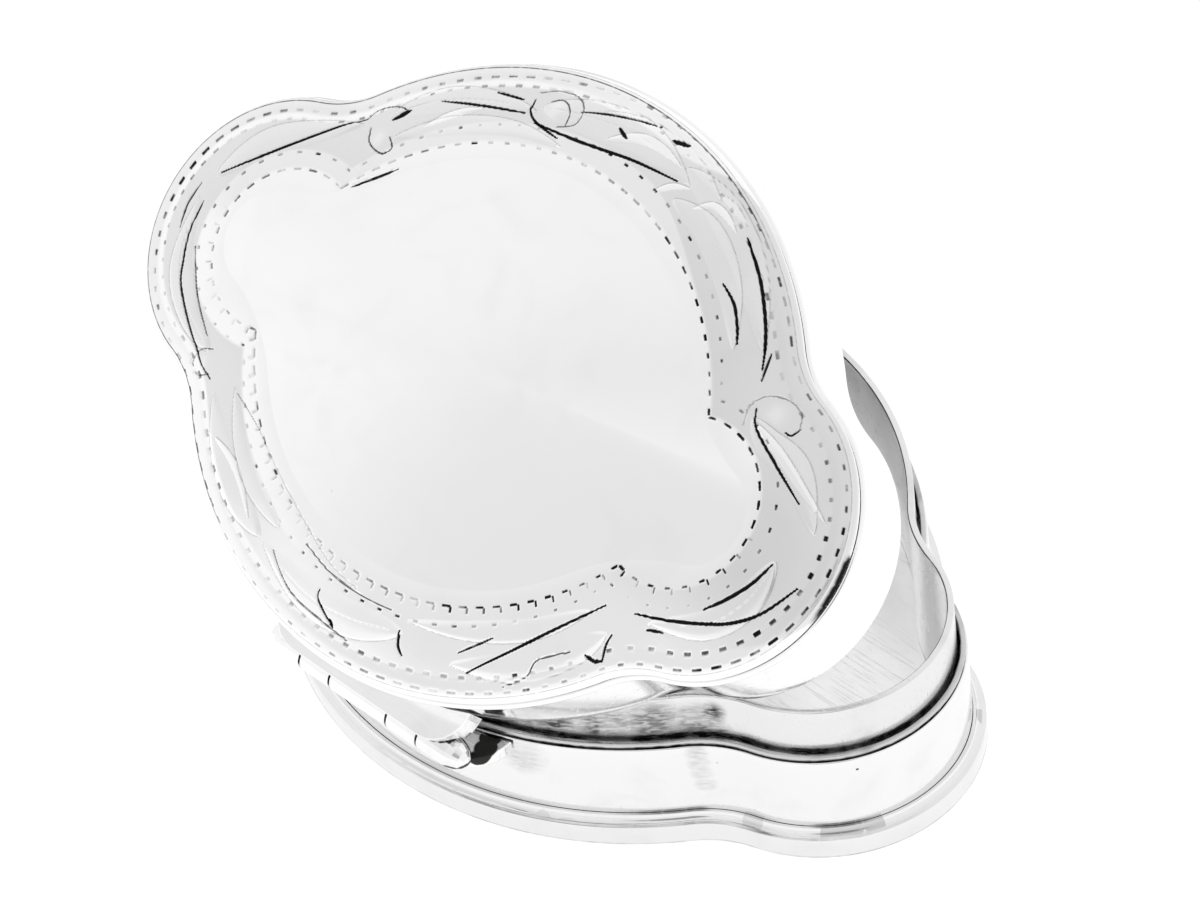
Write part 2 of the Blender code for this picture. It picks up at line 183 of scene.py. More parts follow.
# Leaves: points of the spine, width, height and depth of the vein in millimetres, and how much of the
# matted ground the leaf polishes away
LEAVES = (
    # Far side
    (((-28, 19.5), (-23, 23.5), (-17, 26.2), (-11.5, 27.6)), 3.4, 0.16, 0.06, 0.22),
    (((-26, 17), (-20, 21.5), (-13, 24.6), (-6, 25.6)), 2.4, 0.12, 0, 0.22),
    (((-11, 28.4), (-4, 30.2), (3, 30.9), (10.5, 29.2)), 4.6, 0.2, 0.06, 0.22),
    (((-4, 31.2), (2, 32.2), (9, 31.6), (15, 29.4)), 2.0, 0.12, 0, 0.22),
    # Small polished facets between the leaves
    (((-1.4, 28.9), (1.9, 30.7), (5, 31), (8.4, 30.4)), 1.3, 0.06, 0, 1),
    (((-23.2, 19.8), (-21.3, 22.1), (-19.4, 23.8), (-17.5, 25)), 1.0, 0.05, 0, 1),
    (((7.4, 26.6), (8.9, 28.1), (11, 28.9)), 0.9, 0.05, 0, 1),
    (((12.7, 27.2), (14.3, 28.5), (16.3, 28.4), (18.8, 27.3)), 0.9, 0.05, 0, 1),
    (((14.6, 30), (17.1, 29.4), (19.4, 28.4)), 0.9, 0.05, 0, 0.6),
    (((-26, -21.6), (-22.5, -22.7), (-19.6, -24.4), (-16.4, -27)), 0.9, 0.08, 0, 1),
    (((33.2, 11.3), (37.8, 9.9), (42.4, 8), (45.2, 6.8), (47, 6)), 1.2, 0.08, 0, 0.8),
    # From the far side round the right end
    (((9, 30.6), (16, 28.6), (23, 24.4), (29.5, 18)), 4.2, 0.17, 0, 0.22),
    (((10, 27), (16, 25.8), (22, 21.8), (26.5, 16.5)), 3.4, 0.15, 0, 0.22),
    (((33, 11.5), (36, 10.2), (41, 9), (46.5, 4.5)), 3.6, 0.16, 0, 0.22),
    (((44.5, 0), (44, -5), (41, -9.6), (35, -12.6)), 3.6, 0.18, 0.06, 0.22),
    # Near side, from right to left
    (((31, -16), (28, -20), (23, -24.5), (16, -28)), 3.8, 0.18, 0, 0.22),
    (((28, -15), (23, -20), (16, -24), (9, -26.6)), 2.6, 0.12, 0, 0.22),
    (((9, -28), (2, -30), (-5, -30.4), (-13, -28.4)), 4.2, 0.18, 0.06, 0.22),
    (((-14, -28), (-20, -25.6), (-25, -22.2), (-29.5, -17.6)), 3.6, 0.17, 0, 0.22),
    (((-12, -26), (-18, -23.6), (-23, -20), (-27, -15.6)), 2.4, 0.12, 0, 0.22),
    # Left end
    (((-33, -14), (-38, -11.6), (-42.6, -7.4), (-45, 0)), 3.6, 0.17, 0.06, 0.22),
    (((-44.5, 3), (-41, 9), (-36, 13), (-31, 16.5)), 3.8, 0.18, 0, 0.22),
)

# Strokes of the graver: points and width in millimetres, and how dark the stroke is
STROKES = (
    # Open hooks of the scrolls at the four notches and at the start of the far leaf
    (((-29.8, 16.6), (-28.6, 15.1), (-26.4, 14.8), (-25.5, 15.9), (-26.6, 16.8)), 0.22, 0.6),
    (((-31, 17.2), (-30.4, 18.8), (-28.4, 20.2), (-26.4, 20.4)), 0.22, 0.5),
    (((32.4, 10.4), (31.8, 12.4), (32.8, 14.3), (35.1, 15.1), (37.2, 14.6), (38.2, 13)), 0.22, 0.22),
    (((38.3, 13.1), (37.9, 12.1), (37.1, 12)), 0.3, 0.8),
    (((-12.7, 29.6), (-10.6, 30.9), (-8.1, 31.3), (-6.4, 30.4), (-6.1, 28.6), (-8, 27.3)), 0.22, 0.4),
    (((-12.6, 28.6), (-12.1, 27.2), (-10.5, 26.5), (-7.1, 26.2)), 0.34, 0.9),
    (((-10.6, 29.4), (-9.6, 30.1), (-8.3, 29.9), (-7.4, 29), (-7.2, 27.9)), 0.22, 0.5),
    (((-32.6, -13.6), (-34.2, -14.4), (-34.6, -16), (-33.2, -17), (-31.6, -16.2)), 0.22, 0.4),
    # Fine lines that carry the leaves along the near left side
    (((-26.3, -16.2), (-21.3, -18.1), (-15.1, -21.3), (-4.4, -25.9), (1, -26.8)), 0.22, 0.2),
    (((-11.4, -28.4), (-6.9, -31.1), (-1.4, -31.9), (2.8, -32.2)), 0.3, 0.45),
    (((-7.7, -25.8), (-2.8, -27), (2.8, -27.1), (6.4, -26.6)), 0.22, 0.45),
    (((22.9, -26.9), (24.9, -24.6), (25.3, -22.4), (28.2, -19.8)), 0.22, 0.5),
    # Deep bright-cut strokes
    (((-44, 3.6), (-38.3, 9.8), (-33.5, 15), (-31, 17.2)), 0.36, 1.0),
    (((18.3, -27.8), (21.7, -23.5), (25.1, -19.1), (29.4, -13.5)), 0.36, 1.0),
    (((20.1, 27.5), (24, 24.6), (26.9, 21.7), (29, 19), (30.5, 16.4)), 0.42, 1.0),
    (((30.3, 18.3), (31.2, 15.3)), 0.36, 0.7),
    (((21, 22), (23.4, 20.8), (25.2, 19), (26.4, 17.3)), 0.36, 1.0),
    (((32.6, 12.6), (34, 10.8), (38, 8.8), (43.2, 6.4)), 0.36, 0.9),
    (((44.4, -0.4), (43.4, -3.4), (41.7, -6.2), (40, -8.3)), 0.5, 1.0),
    (((32.9, -12.6), (36.6, -11.4), (40.5, -9.7), (43.6, -7.9), (46.1, -5.2), (48, -1.2)), 0.42, 1.0),
    (((-10.8, 26.4), (-5.5, 27), (-1.7, 27.6), (3, 28.4), (9, 28.9)), 0.4, 1.0),
    (((-23.3, 23.2), (-18.4, 25), (-12.7, 26.8)), 0.36, 0.8),
    (((-17.5, 27.2), (-14, 28)), 0.36, 0.9),
    (((-27.8, 18.6), (-26.2, 20.6)), 0.6, 1.0),
    (((35, -13.4), (36.9, -12.7)), 0.36, 0.8),
    (((16.3, -26.5), (19.4, -23)), 0.36, 0.6),
    (((8.6, -28), (9.1, -29.4), (10.1, -30.2)), 0.42, 1.0),
    (((-3.2, -29.1), (-2.9, -30), (-1.4, -30.9), (0.5, -31.8)), 0.3, 0.8),
    (((-0.3, -31.2), (0.5, -31.8)), 0.5, 1.0),
    (((-44.2, -0.2), (-43.6, -3.8), (-42.3, -7), (-40.4, -10), (-34, -15.2), (-31, -16.6)), 0.36, 0.75),
    (((-46, 1.4), (-46.2, -1.4), (-45.4, -4.1)), 0.36, 0.7),
    (((-41.8, -5), (-38.2, -9.4), (-34.2, -12.7)), 0.3, 0.5),
    (((-27.2, 10), (-23.1, 14.3)), 0.4, 0.7),
    (((-6.4, 30), (-4, 31), (0.2, 32.3), (3.2, 33)), 0.35, 0.6),
    (((5.4, 32.4), (7.6, 32.8)), 0.6, 1.0),
    (((-1, 30.6), (0.6, 30)), 0.5, 1.0),
    (((29.9, -19.2), (31.2, -19.2), (31.9, -18.7)), 0.5, 1.0),
    (((31.9, -18.7), (31.5, -17.1), (31.6, -15.8)), 0.3, 0.9),
)

# Low swellings inside the scrolls: centre and radius in millimetres
BOSSES = (
    ((-27.6, 16), 1.5),
    ((35, 13), 2.0),
    ((-9, 29), 1.9),
    ((-33, -15.4), 1.3),
)

# Noises of the silver, in marks per metre. Each direction of scratches has its turn in radians, its
# fineness and the level of noise from which on there is a scratch
SCRATCHES = ((0.35, 5200, 0.63), (-0.9, 4300, 0.66), (1.7, 6100, 0.66))
SCRATCH_ALONG = 90
SCRATCH_DEEP = 900
SCRATCH_TILT = (0.2, 0.1)
SCRATCH_SOFT = 0.08
CLOUD_SCALE = 130
SPECKLE_SCALE = 1500
STREAK_SCALES = (700, 700, 2400)
PATCH_SCALE = 260
WANDER_SCALE = 340
DENT_SCALE = 45
DENT_DISTANCE = 0.2 * MM
SCRATCH_DISTANCE = 0.012 * MM

# Colours and tones that are mixed into the clean silver, and the tone's share left in its clouds
TARNISH_AND_SHADE = (0.035, 0.034, 0.033)
INK_AND_EDGE_SHADE = (0.012, 0.012, 0.012)
INNER_SHADE_TONE = 0.3
SHADED_SIDE_TONE = 0.42
GROUND_AND_ROLL_SHADE_TONE = 0.42
CLOUD_TONE = 0.98

# The way to the far left side, which is greyed with painted shade, and where on it the grey starts and is
# full
SHADED_SIDE = (-0.77, 0.64, 0)
SHADED_SIDE_START = 4 * MM
SHADED_SIDE_END = 30 * MM

# How far out, measured along its normal, a face lies that surely looks outwards
OUTER_FACE_REACH = 4 * MM

# Painted shade, some with tarnish, painted shadow, painted reflections and marks: centre and reach in
# millimetres, and strength
# Painted shade on the wall: beside the hinge's right end, and a grey streak down the front notch
WALL_PAINTED_SHADE = (
    ((17.5, -31.5, 11.5), 4.0, 0.3),
    ((33.0, -19.1, 12.6), 1.7, 0.35),
    ((33.1, -19.0, 11.0), 1.7, 0.35),
    ((33.3, -18.9, 9.4), 1.7, 0.35),
    ((33.5, -18.7, 7.8), 1.7, 0.3),
)
WALL_MARKS = (
    ((47.2, -8.7, 12.0), 0.3, 0.9),
    ((34.6, -17.8, 11.2), 0.4, 0.3),
)
# Painted shade, with some tarnish, on the collar's outer face right of the hinge
COLLAR_SHADE_AND_TARNISH = (
    ((17.5, -32.6, 16.5), 5.0, 1.5),
    ((21.5, -29.8, 16.5), 5.0, 1.0),
    ((25.5, -26.3, 16.8), 5.5, 0.85),
    ((29.5, -21.8, 16.4), 5.0, 0.65),
    ((32.0, -17.4, 16.4), 4.0, 0.7),
    ((32.8, -15.4, 18.2), 2.6, 1.3),
    ((35.0, -17.6, 15.2), 2.6, 1.1),
)
# Painted shade on the collar's inner faces at the far side and at the right end
COLLAR_INNER_SHADE = (
    ((12.0, 31.0, 17.0), 13.0, 0.5),
    ((22.5, 26.0, 17.0), 11.0, 0.55),
    ((45.6, 5.5, 15.0), 8.0, 0.8),
)
# Grey patches of painted reflection on the foot's upper moulding
FOOT_PAINTED_REFLECTIONS = (
    ((37.9, -16.2, 3.1), 1.3, 0.16),
    ((45.6, -11.8, 3.1), 1.4, 0.3),
    ((47.0, -10.2, 3.1), 1.5, 0.3),
    ((48.4, -8.0, 3.1), 1.3, 0.3),
    ((46.8, 11.8, 3.0), 1.2, 0.3),
    ((19.5, -31.9, 3.1), 1.8, 0.12),
    ((22.8, -30.5, 3.1), 2.2, 0.14),
    ((26.0, -28.6, 3.1), 2.0, 0.14),
    ((28.2, -25.9, 3.5), 0.5, 0.9),
    ((29.2, -24.8, 3.5), 0.5, 0.9),
)
FOOT_REFLECTIONS_FLOOR = 2.72 * MM
CRISP_FLOOR_SOFT = 0.1 * MM
# Painted shadow: the dark crescent round the right end of the hinge's barrel
HINGE_PAINTED_SHADOW = (
    ((12.6, -38.5, 12.9), 1.0, 1.0),
    ((14.2, -38.3, 13.0), 1.4, 1.0),
    ((15.6, -37.0, 13.0), 1.7, 1.0),
    ((15.6, -35.2, 13.8), 1.7, 1.0),
    ((14.9, -33.6, 14.0), 1.6, 1.0),
    ((14.2, -32.2, 14.0), 1.5, 1.0),
)
LID_MARKS = (
    ((1.3, -32.76, 36.44), 0.32, 1.0),
    ((-8.2, -32.63, 36.53), 0.5, 0.14),
    ((-8.0, -31.4, 37.2), 0.4, 0.12),
    ((36.1, -17.7, 47.05), 0.4, 0.16),
)

# Dark bands: the heights where they start and where they are full, in millimetres, and strength
# Painted shade, with some tarnish, in the corner at the collar's foot
COLLAR_FOOT_SHADE = ((15.25, 14.75, 1.1),)
COLLAR_EDGE = (20.3, 20.38, 2.2)
# Painted shade under the seat bead
SEAT_UNDERSIDE_SHADE = ((14.25, 14.05, 1.0),)
# Painted contact shadow along the foot's bottom edge
FOOT_CONTACT_SHADOW = ((0.35, 0.05, 0.45),)


# The walls' plan

def plan_arcs():
    """The plan's arcs in order: centre, radius, start, end and side (1 round, -1 hollow)."""
    a = Vector((END_CENTRE_X, 0))
    b = Vector((0, SIDE_CENTRE_Y))
    to_end = END_RADIUS + NOTCH_RADIUS
    to_side = SIDE_RADIUS + NOTCH_RADIUS
    run = b - a
    apart = run.length
    along = (to_end**2 - to_side**2 + apart**2) / (2 * apart)
    across = math.sqrt(to_end**2 - along**2)
    n = a + run * along / apart + Vector((run.y, -run.x)) * across / apart
    te = math.atan2(n.y - a.y, n.x - a.x)
    ts = math.atan2(n.y - b.y, n.x - b.x)
    arcs = []
    for side in (1, -1):
        turn = 0 if side > 0 else math.pi
        notch_turn = turn + math.pi
        right_notch = Vector((side * n.x, side * n.y))
        left_notch = Vector((-side * n.x, side * n.y))
        arcs.append((Vector((side * a.x, 0)), END_RADIUS, turn - te, turn + te, 1))
        arcs.append((right_notch, NOTCH_RADIUS, notch_turn + te, notch_turn + ts, -1))
        arcs.append((Vector((0, side * b.y)), SIDE_RADIUS, turn + ts, turn + math.pi - ts, 1))
        arcs.append((left_notch, NOTCH_RADIUS, turn - ts, turn - te, -1))
    return arcs


ARCS = plan_arcs()
ARC_LENGTHS = [radius * abs(end - start) for _, radius, start, end, _ in ARCS]
PERIMETER = sum(ARC_LENGTHS)


def plan(share, outset):
    """(point, outward normal) of the plan at a share of its length, moved outwards by outset."""
    reach = (share % 1) * PERIMETER
    for (centre, radius, start, end, side), length in zip(ARCS, ARC_LENGTHS):
        if reach <= length:
            break
        reach -= length
    angle = start + (end - start) * min(reach / length, 1)
    ray = Vector((math.cos(angle), math.sin(angle)))
    return centre + ray * (radius + side * outset), ray * side


# Meshes

def mesh_piece(name, shape, body, material, replaced, opened=False):
    """A dressed piece that rides on a body in place of solids, turned open with the lid where asked.

    shape is the piece's vertices and faces."""
    verts, faces = shape
    mesh = bpy.data.meshes.new(name)
    mesh.from_pydata([tuple(v) for v in verts], [], faces)
    if opened:
        mesh.transform(OPEN_LID)
    mesh.validate()
    piece = bpy.data.objects.new(name, mesh)
    bpy.context.scene.collection.objects.link(piece)
    mesh.materials.append(material)
    outwards = bmesh.new()
    outwards.from_mesh(mesh)
    bmesh.ops.recalc_face_normals(outwards, faces=outwards.faces)
    outwards.to_mesh(mesh)
    outwards.free()
    mesh.shade_smooth()
    mesh.set_sharp_from_angle(angle=SMOOTH_ANGLE)
    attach(piece, body)
    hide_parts(*replaced)
    return piece


def strip_faces(rows, steps, first=0):
    """Four-sided faces between rows of vertices that each go once round."""
    faces = []
    for row in range(rows - 1):
        start = first + row * steps
        for step in range(steps):
            after = (step + 1) % steps
            faces.append((start + step, start + after, start + steps + after, start + steps + step))
    return faces


def ring(section, height_of=None):
    """Vertices and faces of a closed section carried round the plan."""
    verts = []
    faces = []
    count = len(section)
    for step in range(STEPS_ROUND):
        for outset, z in section:
            point, _ = plan(step / STEPS_ROUND, outset)
            z = height_of(point, z) if height_of else z
            verts.append((point.x, point.y, z))
    for step in range(STEPS_ROUND):
        after = (step + 1) % STEPS_ROUND
        for k in range(count):
            m = (k + 1) % count
            faces.append((step * count + k, after * count + k, after * count + m, step * count + m))
    return verts, faces


def rounded_section(outset_in, outset_out, bottom, top, radius, rows=1):
    """A rectangle with rounded top corners, its faces split in rows."""
    corner = top - radius
    section = []
    for k in range(rows + 1):
        section.append((outset_out, bottom + (corner - bottom) * k / rows))
    for k in range(1, CORNER_STEPS + 1):
        turn = math.pi / 2 * k / CORNER_STEPS
        section.append((outset_out - radius + radius * math.cos(turn), corner + radius * math.sin(turn)))
    for k in range(CORNER_STEPS + 1):
        turn = math.pi / 2 * (1 + k / CORNER_STEPS)
        section.append((outset_in + radius + radius * math.cos(turn), corner + radius * math.sin(turn)))
    for k in range(1, rows + 1):
        section.append((outset_in, corner + (bottom - corner) * k / rows))
    return section


def plate(outset, bottom, top, bevel):
    """Vertices and faces of a flat plate of the plan's shape with small bevels."""
    drawn_in = outset - bevel
    levels = [(drawn_in, bottom), (outset, bottom + bevel), (outset, top - bevel), (drawn_in, top)]
    verts = []
    for out, z in levels:
        for step in range(STEPS_ROUND):
            point, _ = plan(step / STEPS_ROUND, out)
            verts.append((point.x, point.y, z))
    faces = strip_faces(len(levels), STEPS_ROUND)
    faces.append(tuple(reversed(range(STEPS_ROUND))))
    faces.append(tuple(range(len(verts) - STEPS_ROUND, len(verts))))
    return verts, faces


# Materials

def new_material(name):
    material = bpy.data.materials.new(name)
    material.use_nodes = True
    return material, material.node_tree.nodes["Principled BSDF"]


def grey(level):
    return (level, level, level)


class Nodes:
    """Short calls for a node tree, over one of the coordinates that a piece or the sky has."""

    def __init__(self, tree, coordinates):
        self.tree = tree
        self.place = self.new("ShaderNodeTexCoord").outputs[coordinates]

    def new(self, kind):
        return self.tree.nodes.new(kind)

    def link(self, source, target):
        self.tree.links.new(source, target)

    def feed(self, sockets, values):
        """Sets each socket to its value, or links it where the value is another node's output."""
        for socket, value in zip(sockets, values):
            if isinstance(value, bpy.types.NodeSocket):
                self.link(value, socket)
            else:
                socket.default_value = value

    def upwards(self):
        """The height of the shaded point, or how far up a way into the sky points."""
        split = self.new("ShaderNodeSeparateXYZ")
        self.link(self.place, split.inputs[0])
        return split.outputs["Z"]

    def stretched(self, scale, turn=(0, 0, 0)):
        mapping = self.new("ShaderNodeMapping")
        mapping.inputs["Scale"].default_value = scale
        mapping.inputs["Rotation"].default_value = turn
        self.link(self.place, mapping.inputs["Vector"])
        return mapping.outputs[0]

    def noise(self, scale, detail, vector=None, distortion=0):
        node = self.new("ShaderNodeTexNoise")
        node.inputs["Scale"].default_value = scale
        node.inputs["Detail"].default_value = detail
        node.inputs["Distortion"].default_value = distortion
        self.link(vector or self.place, node.inputs["Vector"])
        return node.outputs["Fac"]

    def ramp(self, value, low, high, to_low=0, to_high=1):
        node = self.new("ShaderNodeMapRange")
        node.interpolation_type = "SMOOTHSTEP"
        node.inputs["From Min"].default_value = low
        node.inputs["From Max"].default_value = high
        node.inputs["To Min"].default_value = to_low
        node.inputs["To Max"].default_value = to_high
        self.link(value, node.inputs["Value"])
        return node.outputs["Result"]

    def math(self, operation, first, second):
        node = self.new("ShaderNodeMath")
        node.operation = operation
        self.feed(node.inputs, (first, second))
        return node.outputs[0]

    def vectors(self, operation, first, second):
        node = self.new("ShaderNodeVectorMath")
        node.operation = operation
        self.feed(node.inputs, (first, second))
        return node.outputs["Value"]

    def mix(self, share, first, second):
        """Two colours, each three numbers or another node's output."""
        node = self.new("ShaderNodeMix")
        node.data_type = "RGBA"
        self.link(share, node.inputs["Factor"])
        colours = [(*value, 1) if isinstance(value, tuple) else value for value in (first, second)]
        self.feed(node.inputs[6:8], colours)
        return node.outputs[2]

    def bump(self, height, distance, strength, normal=None):
        node = self.new("ShaderNodeBump")
        node.inputs["Distance"].default_value = distance
        node.inputs["Strength"].default_value = strength
        self.link(height, node.inputs["Height"])
        if normal:
            self.link(normal, node.inputs["Normal"])
        return node.outputs[0]

    def painted(self, name):
        """A value that the mesh carries at its vertices."""
        node = self.new("ShaderNodeAttribute")
        node.attribute_name = name
        return node.outputs["Fac"]

    def spot(self, centre, reach, strength, inner=0.35, wander=None):
        """strength at a point, falling to 0 at a distance that may wander, all in millimetres."""
        distance = self.vectors("DISTANCE", self.place, tuple(c * MM for c in centre))
        if wander:
            distance = self.math("ADD", distance, self.math("MULTIPLY", wander, reach * MM))
        return self.math("MULTIPLY", self.ramp(distance, inner * reach * MM, reach * MM, 1, 0), strength)


def scratch_lines(nodes):
    """1 on fine scratches in three directions, and 0 beside them."""
    lines = None
    for turn, fine, level in SCRATCHES:
        vector = nodes.stretched((SCRATCH_ALONG, fine, SCRATCH_DEEP), (*SCRATCH_TILT, turn))
        line = nodes.ramp(nodes.noise(1, 2, vector), level, level + SCRATCH_SOFT)
        lines = nodes.math("MAXIMUM", lines, line) if lines else line
    return lines


def soft_marks(nodes, shade_and_stains, shade_bands, outer, inner_edge):
    """Patches and bands of painted shade, some with tarnish, that a fine noise breaks up into streaks and
    patches.
    """
    marks = [nodes.spot(*shade_patch) for shade_patch in shade_and_stains]
    for start, end, strength in shade_bands:
        marks.append(nodes.ramp(nodes.upwards(), start * MM, end * MM, 0, strength))
    if outer:
        marks = [nodes.math("MULTIPLY", mark, outer) for mark in marks]
    if inner_edge:
        start, end, strength = inner_edge
        edge = nodes.ramp(nodes.upwards(), start * MM, end * MM, 0, strength)
        marks.append(nodes.math("MULTIPLY", edge, nodes.ramp(outer, 0.0, 0.9, 1, 0)))
    if not marks:
        return []
    streaks = nodes.noise(1, 6, nodes.stretched(STREAK_SCALES), 0.5)
    patchy = nodes.ramp(nodes.noise(PATCH_SCALE, 5, distortion=0.4), 0.35, 0.62, 0.45, 1.0)
    broken = nodes.math("MULTIPLY", nodes.ramp(streaks, 0.34, 0.6, 0.5, 1.15), patchy)
    return [nodes.math("MULTIPLY", mark, broken) for mark in marks]


def crisp_marks(nodes, crisp, ragged, floor):
    """Marks with a sharp edge that wanders, above a height."""
    if not crisp:
        return []
    wander = nodes.ramp(nodes.noise(WANDER_SCALE, 3), 0.25, 0.75, -ragged, ragged)
    above = nodes.ramp(nodes.upwards(), floor, floor + CRISP_FLOOR_SOFT)
    return [nodes.math("MULTIPLY", nodes.spot(*mark, inner=0.88, wander=wander), above) for mark in crisp]


def silver(name, tone, rough, grime, shade_and_stains=(), crisp=(), shade_bands=(), outside=None, inner_edge=None, shaded_places=(),
           engraved=False, dents=0.2, rubbed=0.35, brushed=0.0, side_shade=0.0, ragged=0.45, crisp_floor=0.0):
    """Rubbed silver: fine scratches in three directions, soft dents, cloudy tarnish, and dark patches of
    painted shade, painted shadow and painted reflection.

    tone is how bright the clean metal is, rough its roughness and grime how strong its clouds are.
    shade_and_stains are (centre, reach, strength) of dark patches of painted shade, some with tarnish,
    that a fine noise breaks up; crisp marks, among them painted reflections and a painted shadow, have a
    sharp edge, which wanders as far as ragged says, and keep above crisp_floor, and shade_bands are bands
    of painted shade, some with tarnish, given as (start height, full height, strength). Where outside is
    given, it is the tone of the faces that look outwards; shade_and_stains and shade_bands keep to them,
    and inner_edge is a band of the inner faces. The inner faces, or all without outside, are darkened with
    painted shade near the shaded_places. side_shade greys the far left side with painted shade. An
    engraved piece carries ink, matted ground and painted shade of the lid's edge at its vertices."""
    material, shader = new_material(name)
    nodes = Nodes(material.node_tree, "Object")
    scratches = scratch_lines(nodes)
    cloud = nodes.noise(CLOUD_SCALE, 6, distortion=0.6)
    speckle = nodes.noise(SPECKLE_SCALE, 3)
    outer = None
    if outside:
        facing = nodes.new("ShaderNodeNewGeometry").outputs["Normal"]
        outwards = nodes.vectors("DOT_PRODUCT", facing, nodes.place)
        outer = nodes.ramp(outwards, -OUTER_FACE_REACH, OUTER_FACE_REACH)

    tarnish_and_shade = nodes.ramp(cloud, 0.45, 0.8, 0, grime)
    # Painted shade, painted shadow and painted reflections join the cloudy tarnish here
    marks = soft_marks(nodes, shade_and_stains, shade_bands, outer, inner_edge)
    for mark in marks + crisp_marks(nodes, crisp, ragged, crisp_floor):
        tarnish_and_shade = nodes.math("MAXIMUM", tarnish_and_shade, mark)

    clean = nodes.mix(cloud, grey(tone), grey(CLOUD_TONE * tone))
    # Painted shade on the inner faces near the shaded places
    for place in shaded_places:
        clean = nodes.mix(nodes.spot(*place), clean, grey(INNER_SHADE_TONE))
    if outside:
        clean = nodes.mix(outer, clean, grey(outside))
    # Painted shade greys the far left side
    if side_shade:
        away = nodes.vectors("DOT_PRODUCT", nodes.place, SHADED_SIDE)
        away = nodes.ramp(away, SHADED_SIDE_START, SHADED_SIDE_END, 0, side_shade)
        greyed = nodes.math("MULTIPLY", away, nodes.ramp(cloud, 0.3, 0.7, 0.7, 1.1))
        clean = nodes.mix(greyed, clean, grey(SHADED_SIDE_TONE))

    roughness = nodes.math("ADD", nodes.ramp(cloud, 0.3, 0.7, rough, 1.15 * rough),
                           nodes.math("MULTIPLY", scratches, 0.3 * rubbed))
    roughness = nodes.math("ADD", roughness, nodes.math("MULTIPLY", tarnish_and_shade, 0.25))
    if engraved:
        ground_and_roll_shade = nodes.painted("ground_and_roll_shade")
        clean = nodes.mix(ground_and_roll_shade, clean, grey(GROUND_AND_ROLL_SHADE_TONE))
        roughness = nodes.math("ADD", roughness, nodes.math("MULTIPLY", ground_and_roll_shade, 0.4))
    colour = nodes.mix(tarnish_and_shade, clean, TARNISH_AND_SHADE)
    if engraved:
        ink_and_edge_shade = nodes.painted("ink_and_edge_shade")
        speckled_ink_and_edge_shade = nodes.math("MULTIPLY", ink_and_edge_shade, nodes.ramp(speckle, 0.3, 0.55, 0.8, 1.15))
        colour = nodes.mix(nodes.ramp(speckled_ink_and_edge_shade, 0.06, 0.66), colour, INK_AND_EDGE_SHADE)
        roughness = nodes.math("ADD", roughness, nodes.math("MULTIPLY", ink_and_edge_shade, 0.35))

    height = nodes.math("ADD", scratches, nodes.math("MULTIPLY", speckle, 0.4))
    dented = nodes.bump(nodes.noise(DENT_SCALE, 1), DENT_DISTANCE, dents)
    nodes.link(colour, shader.inputs["Base Color"])
    nodes.link(roughness, shader.inputs["Roughness"])
    nodes.link(nodes.bump(height, SCRATCH_DISTANCE, rubbed + brushed, dented), shader.inputs["Normal"])
    shader.inputs["Metallic"].default_value = 1
    return material


polished_silver = silver("polished_silver", tone=0.97, rough=0.08, grime=0.06, side_shade=0.5)
chased_silver = silver("chased_silver", tone=0.97, rough=0.13, grime=0.03, crisp=LID_MARKS, engraved=True,
                       dents=0.03, rubbed=0.12)
# The wall's silver carries painted shade beside the hinge and in the front notch
wall_silver = silver("wall_silver", tone=0.89, rough=0.1, grime=0.06, shade_and_stains=WALL_PAINTED_SHADE, crisp=WALL_MARKS,
                     side_shade=0.5)
# The foot's silver carries painted reflections on its moulding and a painted contact shadow at its bottom
foot_silver = silver("foot_silver", tone=0.84, rough=0.1, grime=0.06, crisp=FOOT_PAINTED_REFLECTIONS, shade_bands=FOOT_CONTACT_SHADOW,
                     side_shade=0.5, ragged=0.15, crisp_floor=FOOT_REFLECTIONS_FLOOR)
# The collar carries painted shade on its outer face, at its foot and on its inner faces
collar_silver = silver("collar_silver", tone=0.96, rough=0.18, grime=0.15, shade_and_stains=COLLAR_SHADE_AND_TARNISH,
                       shade_bands=COLLAR_FOOT_SHADE, outside=0.8, inner_edge=COLLAR_EDGE, shaded_places=COLLAR_INNER_SHADE,
                       brushed=0.3, side_shade=0.4)
# The seat bead's darker tone and its dark lower band are painted shade of the crevice between collar and
# wall
shaded_seat_silver = silver("shaded_seat_silver", tone=0.62, rough=0.25, grime=0.6, shade_bands=SEAT_UNDERSIDE_SHADE)
inner_silver = silver("inner_silver", tone=0.99, rough=0.3, grime=0.06, brushed=0.5)
hinge_silver = silver("hinge_silver", tone=0.95, rough=0.12, grime=0.1, crisp=HINGE_PAINTED_SHADOW, ragged=0.05)


# The base

def foot_section():
    """A flat band with a soft upper edge, then a hollow up to a lip round the wall."""
    foot = [(FOOT_INSIDE, FOOT_BOTTOM), (FOOT_OUTSET - FOOT_BOTTOM_BEVEL, FOOT_BOTTOM)]
    foot += [(FOOT_OUTSET, level) for level in FOOT_FACE_LEVELS]
    foot.append((FOOT_OUTSET, FOOT_STEP - FOOT_EDGE))
    foot.append((FOOT_OUTSET - FOOT_EDGE_IN, FOOT_STEP - FOOT_EDGE_DOWN))
    foot.append((FOOT_OUTSET - FOOT_EDGE, FOOT_STEP))
    width = FOOT_OUTSET - FOOT_EDGE - FOOT_LIP
    rise = FOOT_TOP - FOOT_STEP
    for k in range(1, FOOT_HOLLOW_STEPS + 1):
        turn = math.pi / 2 * k / FOOT_HOLLOW_STEPS
        foot.append((FOOT_LIP + width * (1 - math.sin(turn)), FOOT_TOP - rise * math.cos(turn)))
    foot += [(FOOT_BACK, FOOT_TOP), (FOOT_BACK, FOOT_SHELF), (FOOT_INSIDE, FOOT_SHELF)]
    return foot


